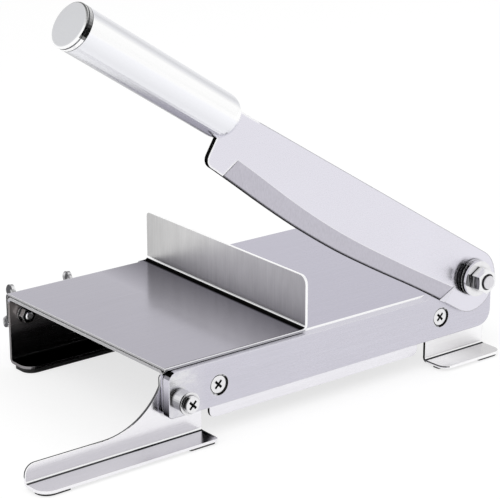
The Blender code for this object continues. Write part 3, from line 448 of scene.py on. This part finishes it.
def make_plate_steel():
    """The fence plate: lengthwise grain on the plate, upright grain on the fence, painted highlights on the
    cut edges, painted shade and lines about the fence.
    """
    plate = Steel("fence_sheet", PLATE_COLOUR, 0.17, LENGTHWISE)
    g = plate.g
    z = plate.place["Z"]
    top = MACHINE.z + PLATE_TOP
    beside = g.math("SUBTRACT", fence_line(g, plate.place["Y"]), plate.place["X"])
    upward = g.both(plate.looks("+Z", VERY_SQUARE, 0.02), plate.before("Z", top + 0.0003, HAIR))
    # Painted shade: the plate darkens towards the fence, where the fence is reflected
    shade_full, shade_end = 0.002, 0.038
    plate.blacken(g.both(upward, g.spread(beside, 0.50, 0, shade_full, shade_end)), SHADED_PLATE)

    grain = g.noise(g.stretch(plate.coords, (1.0, 1.0, 0.03)), 1500.0, 4.0, 0.65)
    patches = g.noise(g.stretch(plate.coords, (1.0, 1.0, 0.3)), 160.0, 3.0, 0.6)
    tone = g.both(g.varied(grain, 0.94, 1.06), g.varied(patches, 0.95, 1.05))
    # The fence grows darker towards its far end
    darker_from, darkest_at = MACHINE.y + 0.075, MACHINE.y + 0.148
    tone = g.both(tone, g.spread(plate.place["Y"], 1.0, 0.74, darker_from, darkest_at))
    # Painted light: the fence upright takes a lighter copy of the plate's steel
    fence = g.scaled(LIT_FENCE_COLOUR, tone)
    plate.tint(g.both(plate.looks("-X"), plate.past("Z", top + 0.0018, FINE)), fence, 0.33)
    plate.tint(g.both(plate.looks("+X"), plate.past("Z", top, FINE)), fence, 0.33)

    # Painted lines at the fence's foot: a black reflection on the plate, a highlight on the bend above it
    line_end, line_gone = 0.0026, 0.0046
    line_top = top + 0.0010
    foot = g.both(g.above(beside, -0.0005, FINE), g.spread(beside, 1, 0, line_end, line_gone))
    foot = g.all(foot, plate.past("Z", top - 0.0001, 0.00005), g.below(plate.normal["X"], 0.5, TURN_SOFT))
    plate.blacken(g.both(foot, g.below(z, line_top, HAIR)), BLACK, 0.5)
    plate.tint(g.both(foot, g.band(z, line_top, top + 0.0022, HAIR)), HIGHLIGHT_WHITE, 0.3)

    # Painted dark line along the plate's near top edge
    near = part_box("fence_plate")[0].y
    plate.blacken(g.both(upward, plate.before("Y", near + 0.0005, HAIR)), LINE_GREY)
    # Painted highlight on the near face, with a painted grey line across it, and on the fence's cut edges
    front = plate.looks("-Y")
    plate.tint(front, HIGHLIGHT_WHITE, 0.35)
    line_low, line_high = top - 0.0012, top - 0.0008
    plate.tint(g.both(front, g.band(z, line_low, line_high, HAIR)), PLATE_LINE)
    fence_only = plate.past("Z", top + 0.02, BROAD)
    plate.tint(g.both(plate.turned_from("X"), fence_only), HIGHLIGHT_WHITE, 0.35)
    left = g.both(plate.looks("-X", VERY_SQUARE, END_SOFT), plate.before("Z", top + 0.0002, HAIR))
    plate.tint(left, CUT_EDGE)
    # Painted black shade along the bottom of the left end
    plate.tint(g.both(left, plate.before("Z", MACHINE.z + 0.0008, HAIR)), BLACK, 0.4)
    dress(plate.finish(), "fence_plate")


def make_foot_steel():
    """Both feet: a web painted bright and a flange painted greyer, painted dark lines in the bend and at
    ends, painted highlights on cut edges and the bend, and a painted black reflection at the left foot's
    right end."""
    foot = Steel("foot_sheet", FOOT_COLOUR, 0.20, LENGTHWISE, contrast=0.02)
    g = foot.g
    right_foot = foot.past("X", 0.05, BROAD)
    flat = g.math("ABSOLUTE", foot.normal["Y"])
    # Painted shade and light: the flanges a darker copy of the foot's steel, the right web a lighter one
    foot.tint(foot.looks("+Z"), foot.toned(SHADED_FOOT_FLANGE))
    foot.tint(g.both(g.above(flat, SQUARE, FACE_SOFT), right_foot), foot.toned(LIT_RIGHT_WEB), 0.45)

    # Painted highlight on the upper cut edges, painted dark outline on their back half
    above_bend = foot.past("Z", 0.006, SOFT)
    cut = g.both(foot.turned_from("Y", 0.3), above_bend)
    foot.tint(cut, HIGHLIGHT_WHITE)
    foot.blacken(g.both(cut, foot.past("Y", WEB_MIDDLE, FINE)), DARK_SHADE)

    # Painted light: the right flange a lighter copy, growing greyer towards its right end
    right_flange = g.both(foot.looks("+Z"), right_foot)
    foot.tint(right_flange, foot.toned(LIT_RIGHT_FLANGE))
    greyer_from, greyest_at = 0.126, 0.150
    greyer = g.both(right_flange, g.spread(foot.place["X"], 0, 0.7, greyer_from, greyest_at))
    foot.tint(greyer, foot.toned(RIGHT_FLANGE_END))

    # Painted dark lines at the feet's ends
    not_left_end = foot.past("X", -0.13, BROAD)
    ends = g.both(foot.looks("-X", 0.4, TURN_SOFT), not_left_end)
    line = g.either(foot.past("Y", WEB_MIDDLE - 0.0015, FINE), foot.past("Z", FOOT_TOP - 0.0009, HAIR))
    foot.blacken(g.all(ends, line, foot.before("Z", 0.036, 0.004)), FOOT_LINE)

    # Painted dark line and painted highlight in the bend
    bend = g.all(foot.before("Z", FOOT_TOP + 0.0014, HAIR), foot.past("Z", FOOT_TOP - 0.0001, 0.00005),
                 g.band(foot.place["Y"], MACHINE.y + 0.0002, MACHINE.y + 0.0021, HAIR))
    foot.blacken(g.both(bend, foot.looks("+Z", 0.66, TURN_SOFT)), FOOT_LINE)
    foot.tint(g.both(bend, g.band(foot.normal["Z"], 0.05, 0.6, 0.05)), HIGHLIGHT_WHITE)
    # Painted black reflection on the left foot's flange at its right end
    patch_start, patch_end = -0.0437, -0.0335
    patch = g.both(foot.looks("+Z", VERY_SQUARE, 0.02),
                   g.band(foot.place["X"], patch_start, patch_end, 0.0006))
    foot.blacken(patch, BLACK)
    dress(foot.finish(), "near_left_foot", "near_right_foot")


def make_bar_steel():
    """The cutter bar: countersinks with a painted highlight and a painted black crescent, a painted black
    reflection at its upper left corner and low on its end.
    """
    bar = Steel("brushed_bar", BAR_COLOUR, 0.26, LENGTHWISE, contact=0.75)
    g = bar.g
    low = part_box("cutter_bar")[0]
    # Painted highlight in each countersink, with a painted black crescent on one side
    for side in ("left", "right"):
        near = g.below(around(g, bar.coords, centre_of("bar_screw_" + side)), COUNTERSINK, HAIR)
        cone = g.both(near, g.above(bar.normal["Y"], -0.92, 0.03))
        bar.tint(cone, SINK_HIGHLIGHT, 0.2)
        lean = g.math("SUBTRACT", g.both(bar.normal["X"], 0.8), g.both(bar.normal["Z"], 0.45))
        bar.tint(g.both(cone, g.below(lean, -0.15, TURN_SOFT)), BLACK, 0.4)

    # Painted black reflection low on the left end and at the upper left corner; lighter patches towards the
    # left end of the front face
    end = g.both(bar.looks("-X"), bar.before("X", low.x + 0.001, SOFT))
    bar.blacken(g.both(end, g.spread(bar.place["Z"], 1, 0, low.z + 0.002, low.z + 0.018)), BLACK)
    left = g.both(g.spread(bar.place["X"], 1, 0, low.x + 0.008, low.x + 0.024), bar.looks("-Y"))
    patches = g.noise(g.stretch(bar.coords, (1.0, 1.0, 1.6)), 130.0, 3.0, 0.6)
    patches = g.spread(g.spread(patches, 0, 1, 0.42, 0.6), 0.35, 0.95)
    bar.tint(g.both(left, patches), BAR_PATCHES)
    corner = g.all(bar.before("X", low.x + 0.006, SOFT), g.band(bar.normal["Z"], 0.45, 0.96, 0.03),
                   g.above(bar.normal["Y"], -0.3, FACE_SOFT))
    bar.blacken(corner, BLACK, 0.3)
    dress(bar.finish(), "cutter_bar")


def make_blade_steel():
    """The blade: satin face, bevel ground across, a painted dark reflection line on the edge, a painted
    highlight where the bevel starts, painted lines along its rim and heel.
    """
    start_line, edge_line, rim_line, heel_line = 0.0005, 0.0018, 0.0011, 0.0022
    blade = Steel("blade_steel", BLADE_COLOUR, 0.28, LENGTHWISE, BLADE_LEAN, contrast=0.006,
                  bump=0.03, edge_strength=0.0, contact=0.4, contact_reach=0.002)
    g = blade.g
    front = g.math("MULTIPLY", blade.normal["Y"], -1.0)
    bevel = g.band(front, 0.93, 0.9975, 0.001)
    scratches = g.noise(g.stretch(blade.coords, (1.0, 1.0, 0.05), BLADE_LEAN), 2200.0, 3.0, 0.6)
    blade.tint(bevel, g.scaled(BEVEL_COLOUR, g.varied(scratches, 0.92, 1.08)), 0.34)
    # Painted highlight where the bevel starts, painted dark reflection line along the cutting edge
    blade.tint(g.near_edges(start_line, 0.9, 0.9995, 0.996), BEVEL_START_COLOUR)
    blade.blacken(g.both(g.near_edges(edge_line, 1.0, 0.985, 0.95), bevel), BLACK)

    pivot = centre_of("pivot_bolt")
    from_pivot = g.vector_math("SUBTRACT", blade.coords, pivot)
    along = g.dot(from_pivot, (-cos(REST_ANGLE), 0, sin(REST_ANGLE)))
    at_heel = g.above(along, HEEL_START, 0.001)
    face = g.above(front, 0.999, 0.0005)
    # Painted grey line along the face's rim, painted highlight along the heel
    rim = g.both(face, g.near_edges(rim_line, 0.9, 0.97, 0.92))
    blade.tint(g.both(rim, g.outside(at_heel)), BLADE_RIM)
    blade.tint(g.all(face, at_heel, g.near_edges(heel_line, 1.0, 0.99, 0.95)), WHITE, 0.45)

    smooth_radius, plain_radius = 0.016, 0.024
    close = g.spread(around(g, blade.coords, pivot), 1, 0, smooth_radius, plain_radius)
    blade.rough = g.mix(close, blade.rough, 0.21, "FLOAT")
    # Painted black line along the heel's lower rim
    downward = g.math("ADD", blade.normal["X"], g.both(blade.normal["Z"], 0.6))
    heel = g.all(blade.turned_from("Y", 0.3), g.below(downward, -0.4, TURN_SOFT),
                 g.above(along, HEEL_START - 0.02, 0.002))
    blade.blacken(heel, BLACK, 0.4)
    dress(blade.finish(), "blade")


def along_handle():
    """The handle's axis, away from the pivot, and the direction square to it that points down."""
    return (Vector((-cos(HANDLE_LEAN), 0, sin(HANDLE_LEAN))),
            Vector((-sin(HANDLE_LEAN), 0, -cos(HANDLE_LEAN))))


def handle_centre(outward):
    """A point on the handle's axis: the middle of the tube's outer end."""
    points = [Vector(vertex.co) for vertex in NODES["handle_tube"].data.vertices]
    furthest = max(point.dot(outward) for point in points)
    ends = [point for point in points if point.dot(outward) > furthest - END_DEPTH]
    low = Vector([min(point[axis] for point in ends) for axis in range(3)])
    high = Vector([max(point[axis] for point in ends) for axis in range(3)])
    return (low + high) / 2


def make_tube_steel():
    """The handle's tube: painted bright and grey reflection bands that run along it."""
    outward, down = along_handle()
    tube = Steel("polished_tube", WHITE, 0.24, LENGTHWISE, BLADE_LEAN, contrast=0.003,
                 bump=0.0, rough_spread=0.0, edge_strength=0.0, contact=0.1, cloud=0.003)
    g = tube.g
    lower = g.dot(g.vector_math("SUBTRACT", tube.coords, handle_centre(outward)), down / HANDLE_RADIUS)
    bands = g.ramp(lower, HANDLE_BANDS)
    # Painted reflection: a cooler tint outside the upper bright band, then the bright and grey bands
    tube.tint(g.outside(g.band(lower, -0.6, 0.02, 0.06)), tube.toned(HANDLE_TINT))
    tube.colour = g.scaled(tube.colour, bands)
    dress(tube.finish(), "handle_tube")


def make_cap_steel():
    """The handle's plug: grey end face, a rim with a painted dark reflection above and a painted highlight
    below, a painted highlight on its side and a painted black reflection on part of it.
    """
    outward, down = along_handle()
    cap = Steel("cap_steel", CAP_COLOUR, 0.22, contrast=0.015, edge_strength=0.0, contact=0.3, cloud=0.03)
    g = cap.g
    face = g.dot(cap.facing, outward)
    lower = g.dot(cap.facing, down)
    side = g.below(face, 0.35, 0.05)
    rim = g.band(face, 0.35, 0.97, 0.02)
    # Painted dark reflection on the upper rim and highlight on the lower, painted highlight on the side
    # with a painted black reflection on part of it
    cap.tint(rim, g.mix(g.above(lower, -0.25, 0.25), CAP_RIM, HIGHLIGHT_WHITE), 0.2)
    cap.tint(side, HIGHLIGHT_WHITE, 0.2)
    dark_side = g.all(side, g.spread(lower, 0.25, 1, -0.85, -0.15), g.below(lower, 0.35, 0.05))
    cap.blacken(dark_side, BLACK, 0.3)
    dress(cap.finish(), "handle_end_cap")


def make_bright_steel():
    """Goes on every fastener first; those with a look of their own get it afterwards."""
    bright = Steel("bright_steel", BRIGHT_COLOUR, 0.14, grain=FASTENER_GRAIN, contrast=0.04, edge=0.0002)
    dress(bright.finish(), *[name for name in NODES if any(
        word in name for word in ("screw", "bolt", "washer", "nut", "sleeve"))])


def make_ring_steel():
    """Washers whose rim has a painted black reflection to the left, apart from the front half of the ring
    under the pivot nut.
    """
    ring = Steel("ring_steel", BRIGHT_COLOUR, 0.16, grain=FASTENER_GRAIN, contrast=0.04, edge=0.0003)
    g = ring.g
    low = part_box("pivot_spring_washer")[0]
    front_half = g.band(ring.place["Y"], low.y - 0.0002, low.y + 0.0016, HAIR)
    # Painted black reflection on the rims' left side
    dark_rim = g.all(ring.turned_from("Y"), ring.looks("-X", 0.35, 0.25), g.outside(front_half))
    ring.blacken(dark_rim, BLACK, 0.3)
    # The painted edge highlights stay on the black side too
    ring.edge_highlight_share = 1.0  # the edges stay bright on the black side too
    dress(ring.finish(), "pivot_flat_washer", "pivot_spring_washer", "stop_screw_front_washer")


def make_sleeve_steel():
    """The stop's sleeve: turned round, painted shade low on its left side, painted black shade where it
    meets the bar.
    """
    sleeve = Steel("sleeve_steel", SLEEVE_COLOUR, 0.22, (1.0, 0.05, 1.0), grain=FASTENER_GRAIN,
                   contrast=0.05, edge=0.0003, contact=0.15)
    g = sleeve.g
    rim = sleeve.turned_from("Y")
    # Painted shade low on the left side
    low_left = g.all(rim, sleeve.looks("-X", 0.6, 0.15), g.below(sleeve.normal["Z"], 0.3, 0.2))
    sleeve.tint(low_left, SLEEVE_SHADE)
    # Painted black shade where the sleeve meets the bar
    bar_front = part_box("cutter_bar")[0].y
    at_bar = g.all(rim, sleeve.looks("-X", 0.1, 0.3), sleeve.past("Y", bar_front - 0.0022, 0.0009))
    sleeve.tint(at_bar, BLACK)
    dress(sleeve.finish(), "stop_sleeve")


def make_clamp_steel():
    """Nuts and washers inside the far flange: bright to the left, painted black reflections elsewhere."""
    clamp = Steel("clamp_steel", CLAMP_COLOUR, 0.16, grain=FASTENER_GRAIN, contrast=0.04, edge=0.0003,
                  contact=0.3)
    g = clamp.g
    rim = clamp.turned_from("Y")
    # Painted black reflections on all but the rims facing left, and on the front faces
    clamp.blacken(g.both(rim, g.above(clamp.normal["X"], -0.35, TURN_SOFT)), BLACK)
    clamp.blacken(g.both(clamp.looks("-Y", 0.8, TURN_SOFT), 0.9), BLACK)
    dress(clamp.finish(), "clamp_washer_left", "clamp_washer_right", "clamp_nut_left", "clamp_nut_right")


def make_nut_steel():
    """The pivot nut: painted dark reflection stripes on its left flat, a painted dark shade ring at its
    hole.
    """
    nut = Steel("nut_steel", NUT_COLOUR, 0.16, grain=FASTENER_GRAIN, contrast=0.04, edge=0.0003)
    g = nut.g
    # Painted dark reflection stripes on the left flat
    stripes = g.noise(g.stretch(nut.coords, (1.0, 1.0, 0.15)), 900.0, 2.0)
    striped = g.mix(g.spread(stripes, 0, 1, 0.45, 0.62), BLACK, NUT_STRIPES)
    nut.tint(nut.looks("-X", 0.8, TURN_SOFT), striped, 0.3)
    # Painted dark shade round the hole
    at_hole = g.below(around(g, nut.coords, centre_of("pivot_nut")), BOLT_HOLE, HAIR)
    nut.tint(g.both(at_hole, nut.looks("-Y")), DARK_SHADE)
    dress(nut.finish(), "pivot_nut")


def make_wing_steel():
    """Wing bolts: patchy cast grey, painted darker rims with a painted highlight above, painted highlights
    on the shank ends inside the far flange.
    """
    wing = Steel("wing_steel", WING_COLOUR, 0.30, grain=FASTENER_GRAIN, contrast=0.08, edge_strength=0.0)
    g = wing.g
    wing.tint(g.spread(g.noise(wing.coords, 420.0, 2.0), 0, 0.8, 0.45, 0.6), HIGHLIGHT_WHITE)
    # Painted darker rims, a painted highlight on their upper parts, painted highlights on the shank ends
    rim = wing.turned_from("Y", 0.65)
    patches = g.spread(g.noise(wing.coords, 260.0, 2.0), 0.2, 1.0, 0.42, 0.55)
    wing.tint(g.both(rim, patches), WING_SHADE)
    wing.tint(g.both(rim, g.band(wing.normal["Z"], 0.55, 0.85, TURN_SOFT)), HIGHLIGHT_WHITE)
    wing.tint(wing.before("Y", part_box("clamp_nut_left")[1].y, SOFT), HIGHLIGHT_WHITE, 0.3)
    dress(wing.finish(), "wing_bolt_left", "wing_bolt_right")


def make_thread_steel(name, pitch):
    """Bright steel with the painted dark shade lines of a thread round an axis along Y."""
    bolt = Steel(name + "_steel", THREAD_COLOUR, 0.2, grain=FASTENER_GRAIN, contrast=0.04, edge=0.0002)
    g = bolt.g
    centre = centre_of(name)
    across = g.math("SUBTRACT", bolt.place["X"], centre.x)
    upward = g.math("SUBTRACT", bolt.place["Z"], centre.z)
    turn = g.math("DIVIDE", g.math("ARCTAN2", upward, across), 2 * pi)
    turns = g.math("ADD", g.math("DIVIDE", bolt.place["Y"], pitch), turn)
    wave = g.math("SINE", g.math("MULTIPLY", turns, 2 * pi))
    # Painted shade in the thread's grooves
    bolt.tint(g.both(bolt.turned_from("Y", 0.3), g.above(wave, 0.2, 0.4)), DARK_SHADE)
    dress(bolt.finish(), name)


def make_head_steel(name):
    """Bright steel with painted black shade inside its cross recess and a painted dark reflection on its
    crown's upper left.
    """
    head = Steel(name + "_steel", BRIGHT_COLOUR, 0.14, grain=FASTENER_GRAIN, contrast=0.04, edge=0.0003)
    g = head.g
    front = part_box(name)[0].y
    from_axis = around(g, head.coords, centre_of(name))
    recess_low, recess_high = RECESS_DEPTHS
    inside = g.band(head.place["Y"], front + recess_low, front + recess_high, 0.00003)
    # Painted black shade inside the cross recess
    head.tint(g.both(g.below(from_axis, CROSS_RECESS, HAIR), inside), BLACK, 0.5)
    crown = g.all(head.turned_from("Y", 0.85), head.before("Y", front + 0.0026, HAIR),
                  g.above(from_axis, CROSS_RECESS + 0.0005, HAIR))
    # Painted dark reflection on the crown's upper left
    upper_left = g.all(crown, head.looks("-X", 0.3, TURN_SOFT), g.above(head.normal["Z"], -0.3, 0.2))
    head.tint(upper_left, BLACK, 0.3)
    dress(head.finish(), name)


def make_rubber():
    """Matt black, finely pitted."""
    rubber, g, shader = new_material("black_rubber")
    pits = g.noise(g.node("TexCoord").outputs["Object"], 1800.0, 4.0, 0.7)
    g.feed(shader.inputs["Base Color"], g.mix(pits, RUBBER_LOW, RUBBER_HIGH))
    g.feed(shader.inputs["Roughness"], g.spread(pits, 0.5, 0.8))
    relief = g.node("Bump", {"Height": pits, "Strength": 0.5, "Distance": 0.0001})
    g.feed(shader.inputs["Normal"], relief.outputs["Normal"])
    dress(rubber, *[name for name in NODES if "pad" in name or "strip" in name])


def make_camera():
    data = bpy.data.cameras.new("view")
    data.lens = CAMERA_LENS
    data.sensor_width = SENSOR
    data.sensor_fit = "HORIZONTAL"
    data.clip_start, data.clip_end = CAMERA_CLIP
    camera = bpy.data.objects.new("view", data)
    bpy.context.scene.collection.objects.link(camera)
    camera.location = CAMERA_PLACE
    camera.rotation_mode = "QUATERNION"
    camera.rotation_quaternion = CAMERA_LOOK.to_track_quat("-Z", "Y")
    bpy.context.scene.camera = camera


def seen_by_eye_or_gloss(g):
    """1 for camera, glossy and transmission rays, 0 for the light itself."""
    path = g.node("LightPath").outputs
    return g.either(g.either(path["Is Camera Ray"], path["Is Glossy Ray"]), path["Is Transmission Ray"])


def make_world():
    world = bpy.data.worlds.new("studio")
    bpy.context.scene.world = world
    world.use_nodes = True
    g = Graph(world.node_tree)
    background = world.node_tree.nodes["Background"]
    g.feed(background.inputs["Color"], WHITE)
    g.feed(background.inputs["Strength"], g.spread(seen_by_eye_or_gloss(g), WORLD_LIGHT, 1.0))


def staged(name, bm, material):
    mesh = bpy.data.meshes.new(name)
    bm.to_mesh(mesh)
    bm.free()
    mesh.materials.append(material)
    item = bpy.data.objects.new(name, mesh)
    bpy.context.scene.collection.objects.link(item)
    return item


def bare_material(name):
    """A material with nothing but its output."""
    material = bpy.data.materials.new(name)
    material.use_nodes = True
    g = Graph(material.node_tree)
    for item in list(g.tree.nodes):
        g.tree.nodes.remove(item)
    return material, g, g.node("OutputMaterial")


def make_floor():
    """Pale paper, lifted to white for the eye only."""
    material, g, out = bare_material("floor_paper")
    paper = g.node("BsdfDiffuse", {"Color": FLOOR_COLOUR})
    glow = g.node("Emission", {"Strength": g.both(seen_by_eye_or_gloss(g), FLOOR_GLOW)})
    shader = g.node("AddShader", {0: paper.outputs[0], 1: glow.outputs[0]})
    g.feed(out.inputs["Surface"], shader.outputs[0])
    bm = bmesh.new()
    bmesh.ops.create_grid(bm, x_segments=1, y_segments=1, size=FLOOR_SIZE)
    staged("floor", bm, material).location = (0, 0, -FLOOR_DROP)


def make_card():
    """A dark card under the table that only reflections see."""
    material, g, out = bare_material("black_card")
    shader = g.node("Emission", {"Color": BLACK, "Strength": CARD_GLOW})
    g.feed(out.inputs["Surface"], shader.outputs[0])
    (left, near), (right, far) = CARD_LOW, CARD_HIGH
    bm = bmesh.new()
    corners = ((left, near), (right, near), (right, far), (left, far))
    bm.faces.new([bm.verts.new((x, y, CARD_HEIGHT)) for x, y in corners])
    card = staged("card_under_table", bm, material)
    card.visible_camera = False
    card.visible_diffuse = False
    card.visible_shadow = False
    card.visible_transmission = False


def make_lamp(name, place, energy):
    """A square lamp that looks at the origin and is not seen in reflections."""
    data = bpy.data.lights.new(name, "AREA")
    data.shape = "SQUARE"
    data.size = LAMP_SIZE
    data.energy = energy
    lamp = bpy.data.objects.new(name, data)
    bpy.context.scene.collection.objects.link(lamp)
    lamp.location = place
    lamp.rotation_mode = "QUATERNION"
    lamp.rotation_quaternion = (-Vector(place)).to_track_quat("-Z", "Y")
    lamp.visible_glossy = False


bpy.context.scene.view_settings.view_transform = "Standard"
make_camera()
make_world()
make_floor()
make_card()
make_lamp("key", KEY_PLACE, KEY_POWER)
make_lamp("fill", FILL_PLACE, FILL_POWER)
make_table_steel()
make_plate_steel()
make_foot_steel()
make_bar_steel()
make_blade_steel()
make_tube_steel()
make_cap_steel()
make_bright_steel()
make_ring_steel()
make_sleeve_steel()
make_clamp_steel()
make_nut_steel()
make_wing_steel()
make_thread_steel("pivot_bolt", PIVOT_PITCH)
for screw in ("bar_screw_left", "bar_screw_right", "stop_screw"):
    make_head_steel(screw)
make_rubber()
